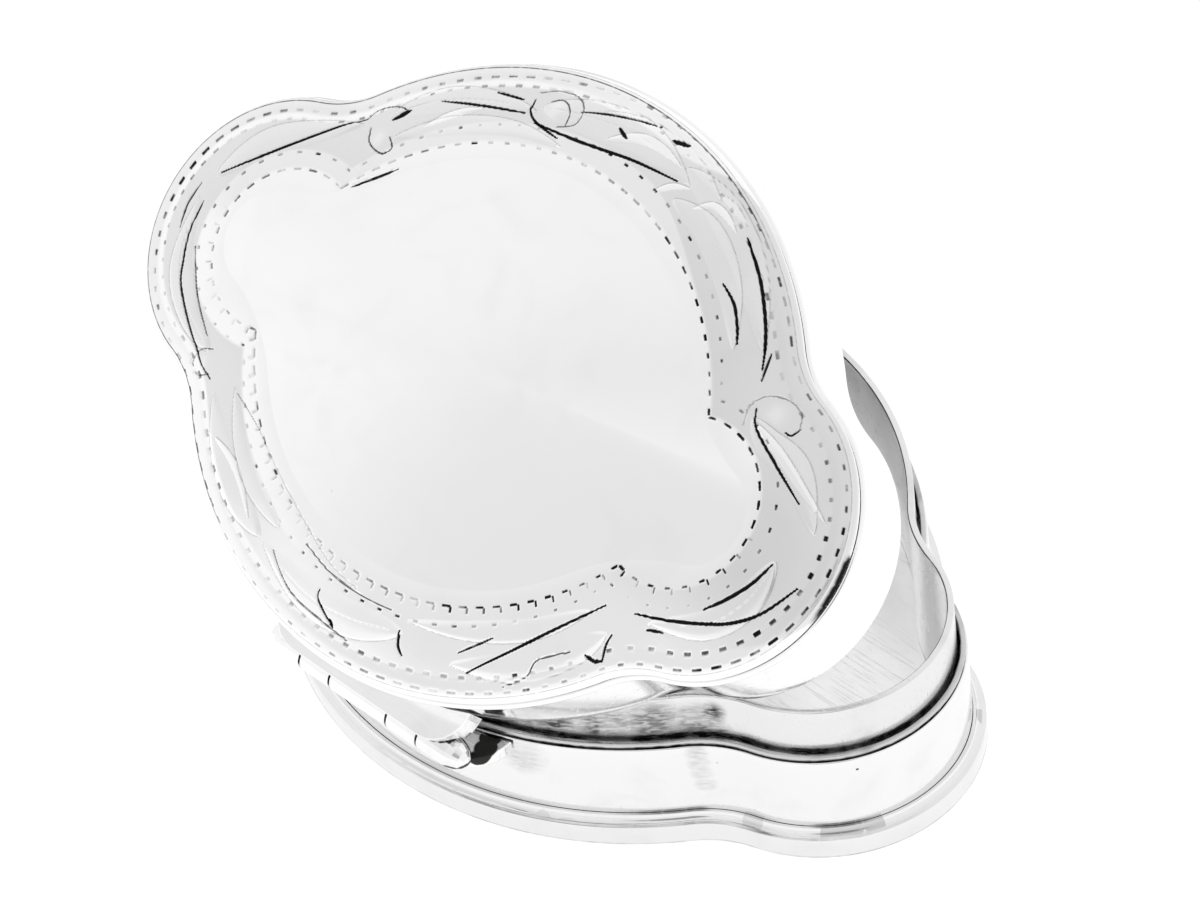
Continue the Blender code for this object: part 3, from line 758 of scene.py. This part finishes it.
def build_foot():
    shape = ring(foot_section())
    mesh_piece("foot_band", shape, "base", foot_silver, replaced=("foot_moulding",))


def build_floor_plate():
    shape = plate(PLATE_OUTSET, 0, PLATE_TOP, PLATE_BEVEL)
    mesh_piece("floor_plate", shape, "base", inner_silver, replaced=("base_plate",))


def build_wall():
    shape = ring(rounded_section(-WALL_THICKNESS, 0, WALL_BOTTOM, WALL_TOP, SHEET_ROUNDING, WALL_ROWS))
    mesh_piece("wall_sheet", shape, "base", wall_silver, replaced=("base_wall",))


def build_seat():
    shape = ring(rounded_section(SEAT_INSIDE, SEAT_OUTSIDE, SEAT_BOTTOM, SEAT_TOP, SEAT_ROUNDING))
    mesh_piece("seat_bead", shape, "base", shaded_seat_silver, replaced=("seat_wire",))


def dipped(point, z):
    """Height of a point of the collar, which is cut lower beside the hinge."""
    x = abs(point.x)
    if point.y > 0 or x > DIP_EDGE_X or z < DIP_START:
        return z
    share = max(0, (x - DIP_FLOOR_X) / (DIP_EDGE_X - DIP_FLOOR_X))
    cut = DIP_DEPTH * (1 + math.cos(math.pi * share)) / 2
    return DIP_START + (z - DIP_START) * (COLLAR_TOP - cut - DIP_START) / (COLLAR_TOP - DIP_START)


def build_collar():
    inside = COLLAR_OUTSET - COLLAR_THICKNESS
    section = rounded_section(inside, COLLAR_OUTSET, WALL_BOTTOM, COLLAR_TOP, SHEET_ROUNDING, COLLAR_ROWS)
    shape = ring(section, dipped)
    mesh_piece("collar_band", shape, "base", collar_silver, replaced=("collar",))


# The lid's cushion and its ornament

def lid_profile():
    """(outset, height) of the cushion's upper face, from its edge inwards, in even short steps."""
    rows = [(SHEET_EDGE_OUTSET, SHEET_EDGE_HEIGHT)]
    for k in range(1, ROLL_ROWS + 1):
        share = k / ROLL_ROWS
        rows.append((SHEET_EDGE_OUTSET - ROLL_WIDTH * share**2, SHEET_EDGE_HEIGHT + ROLL_RISE * share))
    start_out, start_z = rows[-1]
    for k in range(1, SHOULDER_ROWS + 1):
        turn = math.pi / 2 * k / SHOULDER_ROWS
        out = start_out - SHOULDER_WIDTH * (1 - math.cos(turn))
        rows.append((out, start_z + SHOULDER_RISE * math.sin(turn)))
    start_out, start_z = rows[-1]
    for k in range(1, BORDER_ROWS + 1):
        share = k / BORDER_ROWS
        rows.append((start_out - BORDER_WIDTH * share, start_z + BORDER_RISE * (1 - (1 - share) ** 2)))
    return rows


PROFILE = lid_profile()
ARC_PLACES = [0.0]
for (out_a, z_a), (out_b, z_b) in zip(PROFILE, PROFILE[1:]):
    ARC_PLACES.append(ARC_PLACES[-1] + math.hypot(out_b - out_a, z_b - z_a))


def arc_at(outset):
    """Distance from the cushion's edge, along its profile, at an outset."""
    return float(np.interp(-outset, [-out for out, _ in PROFILE], ARC_PLACES))


def smooth_step(low, high, value):
    """0 up to low and 1 from high on, or the other way round where low is the larger."""
    share = np.clip((value - low) / (high - low), 0, 1)
    return share * share * (3 - 2 * share)


def spline_points(points):
    """A smooth line through a few (x, y) points in millimetres, as many short chords in metres."""
    knots = np.array([points[0], *points, points[-1]], float) * MM
    line = []
    for before, start, end, after in zip(knots, knots[1:], knots[2:], knots[3:]):
        for step in range(SPLINE_STEPS):
            t = step / SPLINE_STEPS
            pull = -before + 3 * start - 3 * end + after
            bend = 2 * before - 5 * start + 4 * end - after
            line.append((2 * start + (end - before) * t + bend * t**2 + pull * t**3) / 2)
    line.append(knots[-1])
    return np.array(line)


def nearest(x, y, line):
    """Distance to a line of chords, the share of its length at the nearest point, and the side."""
    best = np.full(x.shape, 1.0)
    share = np.zeros(x.shape)
    side = np.ones(x.shape)
    runs = np.hypot(*(line[1:] - line[:-1]).T)
    total = runs.sum()
    passed = 0
    for start, end, run in zip(line[:-1], line[1:], runs):
        dx, dy = end - start
        t = np.clip(((x - start[0]) * dx + (y - start[1]) * dy) / run**2, 0, 1)
        away = np.hypot(x - start[0] - t * dx, y - start[1] - t * dy)
        closer = away < best
        best = np.where(closer, away, best)
        share = np.where(closer, (passed + t * run) / total, share)
        side = np.where(closer, np.sign(dx * (y - start[1]) - dy * (x - start[0])), side)
        passed += run
    return best, share, side


class Engraving:
    """Relief, ink, matted ground and painted shade of the edge over the lid's fine mesh: x, y in the
    closed lid's plan.
    """

    def __init__(self, x, y):
        self.x = x
        self.y = y
        self.height = np.zeros(x.shape)
        self.ink_and_edge_shade = np.zeros(x.shape)
        self.ground_and_roll_shade = np.zeros(x.shape)
        self.near_side = smooth_step(*NEAR_SIDE_CHANGE, y)
        self.right_side = smooth_step(*RIGHT_SIDE_CHANGE, x)
        self.to_far_left = FAR_LEFT_X * x + FAR_LEFT_Y * y
        self.far_left = smooth_step(*FAR_LEFT_CHANGE, self.to_far_left)
        self.third_row = lobed_row(x, y, THIRD_ROW_SIDE_CENTRE, THIRD_ROW_END_RADIUS)
        self.inner_row = lobed_row(x, y, INNER_ROW_SIDE_CENTRE, INNER_ROW_END_RADIUS)

    def near(self, line, reach):
        """Which points of the mesh lie in the box round a line."""
        low = line.min(axis=0) - reach
        high = line.max(axis=0) + reach
        return (self.x > low[0]) & (self.x < high[0]) & (self.y > low[1]) & (self.y < high[1])

    def punch(self, mask, depth, ink_and_edge_shade):
        """Presses a mask of marks in and darkens them."""
        self.height -= depth * mask
        self.ink_and_edge_shade = np.maximum(self.ink_and_edge_shade, ink_and_edge_shade * mask)

    def cut(self, points, width, ink_and_edge_shade):
        """One stroke of the graver, tapered at both ends."""
        line = spline_points(points)
        here = self.near(line, 2 * width * MM)
        away, share, _ = nearest(self.x[here], self.y[here], line)
        half = width * MM / 2 * np.clip(np.sin(math.pi * share), 0, 1) ** 0.35
        mask = 1 - smooth_step(0.45, 1.15, away / np.maximum(half, CUT_SOFT))
        self.height[here] -= CUT_DEPTH * mask
        self.ink_and_edge_shade[here] = np.maximum(self.ink_and_edge_shade[here], ink_and_edge_shade * mask)

    def leaf(self, points, width, height, vein, polish):
        """A pointed leaf in low relief along a spine, with a cut along one edge and a vein."""
        line = spline_points(points)
        here = self.near(line, 2 * width * MM)
        away, share, side = nearest(self.x[here], self.y[here], line)
        half = width * MM / 2 * np.clip(np.sin(math.pi * share**0.8), 0, 1) ** 0.7
        across = away / np.maximum(half, CUT_SOFT)
        body = np.clip(1 - across**2, 0, 1)
        inside = share * (1 - share) > 0
        rise = height * MM * body**0.8 * (1 + 0.35 * side * across.clip(0, 1))
        self.height[here] += np.where(inside, rise, 0)
        edge = np.exp(-(((away - half) / CUT_SOFT) ** 2)) * inside * (side > 0)
        self.height[here] -= CUT_DEPTH * 0.2 * edge
        self.ink_and_edge_shade[here] = np.maximum(self.ink_and_edge_shade[here], LEAF_OUTLINE * edge)
        self.ground_and_roll_shade[here] *= 1 - polish * smooth_step(0, 0.2, body) * inside
        if vein:
            groove = np.exp(-((away / (0.7 * CUT_SOFT)) ** 2)) * (share > 0.08) * (share < 0.8)
            self.height[here] -= vein * MM * groove
            self.ink_and_edge_shade[here] = np.maximum(self.ink_and_edge_shade[here], 0.5 * LEAF_OUTLINE * groove)

    def boss(self, centre, radius):
        """A low round swelling inside a scroll."""
        away = np.hypot(self.x - centre[0] * MM, self.y - centre[1] * MM)
        swelling = np.exp(-((away / (0.6 * radius * MM)) ** 2))
        self.height += BOSS_HEIGHT * swelling
        self.ground_and_roll_shade *= 1 - 0.45 * swelling


def dashes(along, across, pitch, length, width):
    """Strength of the short marks of a row, each of its own length and wear, and 0 outside them."""
    phase = np.abs((along / pitch + 0.5) % 1 - 0.5) * pitch
    own = np.sin(12.9 * np.floor(along / pitch + 0.5)) * 0.5 + 0.5
    half = length / 2 * (0.65 + 0.45 * own)
    ends = 1 - smooth_step(-DASH_SOFT, DASH_SOFT, phase - half)
    sides = 1 - smooth_step(width / 2 - DASH_SOFT, width / 2 + DASH_SOFT, np.abs(across))
    return ends * sides * (0.45 + 0.55 * ((7.3 * own) % 1))


def line_round(arc, outset):
    """1 on a thin line round the lid at an outset, 0 beside it."""
    return np.exp(-(((arc - arc_at(outset)) / DASH_SOFT) ** 2))


def lobed_row(x, y, side_centre, end_radius):
    """Place along and across a row of four arcs that meet in cusps."""
    to_side = np.hypot(x, np.abs(y) + side_centre) - LOBED_SIDE_RADIUS
    to_end = np.hypot(np.abs(x) - LOBED_END_CENTRE, y) - end_radius
    on_side = to_side < to_end
    along_side = np.arctan2(x, np.abs(y) + side_centre) * LOBED_SIDE_RADIUS
    along_end = np.arctan2(y, np.abs(x) - LOBED_END_CENTRE) * end_radius
    return np.where(on_side, along_side, along_end), np.minimum(to_side, to_end)


def punch_rows(work, arc, share):
    """The two rows near the edge, the two lobed ones, the edge's dark line, a line of painted shade along
    the far left edge and a dark crescent at the right end.
    """
    x, y = work.x, work.y
    patchy = 0.5 + 0.5 * np.sin(x / WEAR_LENGTH_X + 1.3) * np.cos(y / WEAR_LENGTH_Y - 0.4)
    right_end = smooth_step(*RIGHT_END_CHANGE, x)
    left_end = smooth_step(*LEFT_END_CHANGE, x)

    pitch = PERIMETER / ROW_DASHES
    along = share * PERIMETER
    across = arc - arc_at(OUTER_ROW_OUTSET) - OUTER_ROW_SHIFT * work.far_left
    row = dashes(along, across, pitch, DASH_LENGTH, 0.85 * DASH_WIDTH)
    work.punch(row, DASH_DEPTH, 0.3 + 0.25 * patchy + 0.4 * right_end + 0.35 * left_end)
    across = arc - arc_at(SECOND_ROW_OUTSET) - 0.5 * OUTER_ROW_SHIFT * work.far_left
    row = dashes(along + pitch / 2, across, pitch, 0.8 * DASH_LENGTH, 1.1 * DASH_WIDTH)
    work.punch(row, DASH_DEPTH, 0.25 + 0.2 * patchy + 0.35 * right_end + 0.12 * work.near_side)

    row = dashes(*work.third_row, THIRD_ROW_PITCH, 0.55 * DASH_LENGTH, 0.8 * DASH_WIDTH)
    work.punch(row, DASH_DEPTH, 0.4 + 0.3 * (1 - patchy))
    row = dashes(*work.inner_row, INNER_ROW_PITCH, 0.9 * DASH_LENGTH, 0.75 * DASH_WIDTH)
    work.punch(row, DASH_DEPTH, 0.4 + 0.25 * patchy + 0.5 * work.right_side)
    along, across = work.inner_row
    hook_along = along - DASH_LENGTH / 2
    hook_across = across - DASH_LENGTH / 3
    hooks = dashes(hook_along, hook_across, INNER_ROW_PITCH, 0.3 * DASH_LENGTH, 1.8 * DASH_WIDTH)
    work.punch(hooks * work.near_side, DASH_DEPTH, 0.35 + 0.45 * work.right_side)

    work.punch(line_round(arc, EDGE_LINE_OUTSET), 0, 0.4)
    # Painted shade: a dark line along the far left edge
    far = smooth_step(*FAR_LINE_CHANGE, work.to_far_left)
    work.punch(line_round(arc, FAR_LINE_OUTSET) * far, 0, 0.75)
    turn = np.arctan2(y, x - END_CENTRE_X)
    crescent = smooth_step(*CRESCENT_START, turn) * smooth_step(*CRESCENT_END, turn)
    work.punch(crescent * (x > END_CENTRE_X) * smooth_step(arc_at(EDGE_LINE_OUTSET), 0, arc), 0, 0.95)


def mat_ground(work, arc):
    """The matted ground between the rows, lighter on the near side, with a painted shade on the roll of
    the far left side.
    """
    far_right = work.right_side * smooth_step(*FAR_RIGHT_CHANGE, work.y)
    near_bright = work.near_side * (1 - far_right) * smooth_step(*NEAR_BRIGHT_CHANGE, work.x)
    _, third_across = work.third_row
    _, inner_across = work.inner_row
    inner_limit = third_across + work.right_side * (inner_across - third_across)
    matt = GROUND_MATT - 0.33 * near_bright + 0.06 * far_right
    ground_and_roll_shade = matt * smooth_step(0, GROUND_INNER_SOFT, inner_limit)
    faint = GROUND_FAINT * (1 - work.near_side) * smooth_step(0, GROUND_INNER_SOFT, inner_across)
    ground_and_roll_shade = np.maximum(ground_and_roll_shade, faint)
    outer_limit = arc_at(GROUND_OUTSET) * (1 - far_right)
    ground_and_roll_shade = ground_and_roll_shade * smooth_step(outer_limit, outer_limit + GROUND_OUTER_SOFT, arc)
    rolled = smooth_step(arc_at(SECOND_ROW_OUTSET), arc_at(OUTER_ROW_OUTSET) + OUTER_ROW_SHIFT, arc)
    # Painted shade: a faint grey on the roll of the far left side
    work.ground_and_roll_shade = np.maximum(ground_and_roll_shade, GROUND_FAINT * work.far_left * rolled)


def engrave(x, y, arc, share):
    """Height, ink and matted ground of the border's ornament over the lid's mesh, with painted shade along
    the far left edge.
    """
    work = Engraving(x, y)
    punch_rows(work, arc, share)
    mat_ground(work, arc)
    for leaf in LEAVES:
        work.leaf(*leaf)
    for stroke in STROKES:
        work.cut(*stroke)
    for boss in BOSSES:
        work.boss(*boss)
    return work.height, work.ink_and_edge_shade, work.ground_and_roll_shade


def cushion_layers():
    """Rows of the upper face, from the edge inwards: plan points, height, place along the profile, and
    the way, sideways and upwards, in which the relief stands out."""
    places = [plan(step / LID_STEPS, 0) for step in range(LID_STEPS)]
    outline = np.array([point[:] for point, _ in places])
    normals = np.array([normal[:] for _, normal in places])
    layers = []
    for row, ((out, z), arc) in enumerate(zip(PROFILE, ARC_PLACES)):
        before = PROFILE[max(row - 1, 0)]
        after = PROFILE[min(row + 1, len(PROFILE) - 1)]
        run, rise = before[0] - after[0], after[1] - before[1]
        length = math.hypot(run, rise)
        layers.append((outline + normals * out, z, arc, normals * rise / length, run / length))
    edge, edge_z, edge_arc = layers[-1][:3]
    fine = 1 - (1 - PANEL_FINE_SHARE) * np.arange(1, PANEL_FINE_ROWS + 1) / PANEL_FINE_ROWS
    coarse = PANEL_FINE_SHARE * (1 - np.arange(1, PANEL_ROWS + 1) / (PANEL_ROWS + 1))
    for share in (*fine, *coarse):
        z = edge_z + PANEL_RISE * (1 - share**2)
        layers.append((edge * share, z, edge_arc + BORDER_WIDTH, normals * 0, 1.0))
    return outline, normals, layers


def cushion_mesh():
    """The cushion's shape, engraved above and plain below, and its ink, matted ground and painted edge
    shade.
    """
    outline, normals, layers = cushion_layers()
    flat, levels, arcs, tilt, upright = (np.array(column) for column in zip(*layers))
    levels, arcs, upright = (column[:, None] for column in (levels, arcs, upright))
    arc = np.broadcast_to(arcs, flat.shape[:2])
    shares = np.broadcast_to(np.arange(LID_STEPS) / LID_STEPS, arc.shape)
    height, ink_and_edge_shade, ground_and_roll_shade = engrave(flat[..., 0], flat[..., 1], arc, shares)
    upper = np.dstack((flat + tilt * height[..., None], LID_SEAT + levels + height * upright))
    crown = LID_SEAT + PROFILE[-1][1] + PANEL_RISE
    verts = [tuple(vert) for row in upper for vert in row]
    verts.append((0, 0, crown))
    below = len(verts)
    under = PROFILE[:1] + PROFILE[ROLL_ROWS::UNDERSIDE_ROW_STEP]
    for out, z in under:
        inward = LID_SHEET if z > SHEET_EDGE_HEIGHT else 0
        level = max(SHEET_EDGE_HEIGHT, z - LID_SHEET)
        verts += [(x, y, LID_SEAT + level) for x, y in outline + normals * (out - inward)]
    verts.append((0, 0, crown - LID_SHEET))
    faces = []
    for rows, first in ((len(layers), 0), (len(under), below)):
        faces += strip_faces(rows, LID_STEPS, first)
        last = first + (rows - 1) * LID_STEPS
        middle = last + LID_STEPS
        faces += [(last + step, last + (step + 1) % LID_STEPS, middle) for step in range(LID_STEPS)]
    for step in range(LID_STEPS):
        after = (step + 1) % LID_STEPS
        faces.append((step, below + step, below + after, after))
    plain = np.zeros(len(verts) - ink_and_edge_shade.size)
    finish = {"ink_and_edge_shade": np.append(ink_and_edge_shade.ravel(), plain), "ground_and_roll_shade": np.append(ground_and_roll_shade.ravel(), plain)}
    return (verts, faces), finish


def build_cushion():
    shape, finish = cushion_mesh()
    top = mesh_piece("lid_cushion", shape, "lid", chased_silver, replaced=("lid_top",),
                     opened=True)
    for name, values in finish.items():
        top.data.attributes.new(name, "FLOAT", "POINT").data.foreach_set("value", values)


# The rest of the lid

def build_skirt():
    upside_down = rounded_section(LID_WALL_INSIDE, LID_WALL_OUTSET, -LID_WALL_HEIGHT, 0, LID_WALL_ROUNDING,
                                  WALL_ROWS)
    shape = ring([(out, LID_SEAT - z) for out, z in upside_down])
    mesh_piece("lid_skirt", shape, "lid", polished_silver, replaced=("lid_wall",),
               opened=True)


def build_bead():
    """The half-round moulding under the cushion's edge, with its root on the lid's wall."""
    radius = (RIM_TOP - RIM_BOTTOM) / 2
    nose = RIM_OUTSET - radius
    root = RIM_BOTTOM - RIM_ROOT_DROP
    crest = RIM_TOP + RIM_CREST_RISE
    bead = [(LID_WALL_INSIDE, root), (RIM_ROOT_OUTSET, root)]
    for k in range(RIM_STEPS + 1):
        turn = math.pi * k / RIM_STEPS - math.pi / 2
        bead.append((nose + radius * math.cos(turn), RIM_BOTTOM + radius + radius * math.sin(turn)))
    bead += [(RIM_CREST_OUTSET, crest), (LID_WALL_INSIDE, crest)]
    shape = ring([(out, LID_SEAT + z) for out, z in bead])
    mesh_piece("lid_bead", shape, "lid", polished_silver, replaced=("lid_rim",),
               opened=True)


def finish_hinge():
    """The hinge's solids are shown as they are, in their own silver, which carries a painted shadow at the
    barrel's right end.
    """
    for node in ("hinge_base", "hinge_pin", "hinge_lid"):
        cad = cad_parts[node]
        cad.data.materials.clear()
        cad.data.materials.append(hinge_silver)


build_foot()
build_floor_plate()
build_wall()
build_seat()
build_collar()
build_skirt()
build_bead()
build_cushion()
finish_hinge()


# The studio

# The photo's camera, fitted to the outlines: lens and sensor in millimetres, turn in degrees
CAMERA_LENS = 181.27
CAMERA_SENSOR = 36
CAMERA_PLACE = (0.37024, -0.31007, 0.50019)
CAMERA_TURN = (45.155, 5.341, 44.704)
CAMERA_NEAR = 0.05
CAMERA_FAR = 20
STAGE_HALF = 3
STAGE_DROP = 0.02 * MM
STAGE_TONE = 0.3
STAGE_ROUGHNESS = 0.9
STAGE_GLOW = 0.82
SKY_STRENGTH = 1.0
# Height in the sky, from 0 at the horizon to 1 overhead, and brightness there
SKY_LEVELS = ((0.0, 1.0), (1.0, 0.9), (0.3, 0.99), (0.7, 0.99))
# Direction, cosines of the patch's inner and outer edge, and how bright it is beside the tent
SKY_PATCHES = (
    ((0.56, -0.46, 0.69), 0.985, 0.95, 0.35),
    ((-0.3, -0.72, 0.62), 0.975, 0.91, 0.82),
    ((-0.56, -0.3, 0.77), 0.99, 0.95, 0.95),
)


def build_camera(scene):
    camera = bpy.data.objects.new("camera", bpy.data.cameras.new("camera"))
    scene.collection.objects.link(camera)
    camera.data.lens = CAMERA_LENS
    camera.data.sensor_width = CAMERA_SENSOR
    camera.location = CAMERA_PLACE
    camera.rotation_euler = [math.radians(angle) for angle in CAMERA_TURN]
    camera.data.clip_start = CAMERA_NEAR
    camera.data.clip_end = CAMERA_FAR
    scene.camera = camera


def build_stage(scene):
    """A pale floor that glows a little, so that it stays white under the box."""
    corners = [(STAGE_HALF * x, STAGE_HALF * y, 0) for x, y in ((-1, -1), (1, -1), (1, 1), (-1, 1))]
    mesh = bpy.data.meshes.new("floor")
    mesh.from_pydata(corners, [], [(0, 1, 2, 3)])
    floor = bpy.data.objects.new("floor", mesh)
    floor.location.z = -STAGE_DROP
    scene.collection.objects.link(floor)
    pale, shader = new_material("pale_floor")
    shader.inputs["Base Color"].default_value = (*grey(STAGE_TONE), 1)
    shader.inputs["Roughness"].default_value = STAGE_ROUGHNESS
    shader.inputs["Emission Color"].default_value = (1, 1, 1, 1)
    shader.inputs["Emission Strength"].default_value = STAGE_GLOW
    mesh.materials.append(pale)


def build_sky(scene):
    """A white tent: bright round the horizon, greyer overhead, with a few soft patches."""
    world = bpy.data.worlds.new("studio")
    scene.world = world
    world.use_nodes = True
    background = world.node_tree.nodes["Background"]
    nodes = Nodes(world.node_tree, "Generated")
    levels = nodes.new("ShaderNodeValToRGB")
    nodes.link(nodes.upwards(), levels.inputs[0])
    elements = levels.color_ramp.elements
    for element, (place, level) in zip(elements, SKY_LEVELS[:2]):
        element.position = place
        element.color = (*grey(level), 1)
    for place, level in SKY_LEVELS[2:]:
        elements.new(place).color = (*grey(level), 1)
    light = levels.outputs[0]
    for direction, inner_cos, outer_cos, factor in SKY_PATCHES:
        towards = nodes.vectors("DOT_PRODUCT", nodes.place, Vector(direction).normalized()[:])
        scaled = nodes.new("ShaderNodeVectorMath")
        scaled.operation = "SCALE"
        nodes.link(light, scaled.inputs[0])
        nodes.link(nodes.ramp(towards, outer_cos, inner_cos, 1, factor), scaled.inputs["Scale"])
        light = scaled.outputs[0]
    nodes.link(light, background.inputs["Color"])
    background.inputs["Strength"].default_value = SKY_STRENGTH


studio = bpy.context.scene
build_camera(studio)
build_stage(studio)
build_sky(studio)
studio.view_settings.view_transform = "Standard"
studio.view_settings.look = "None"
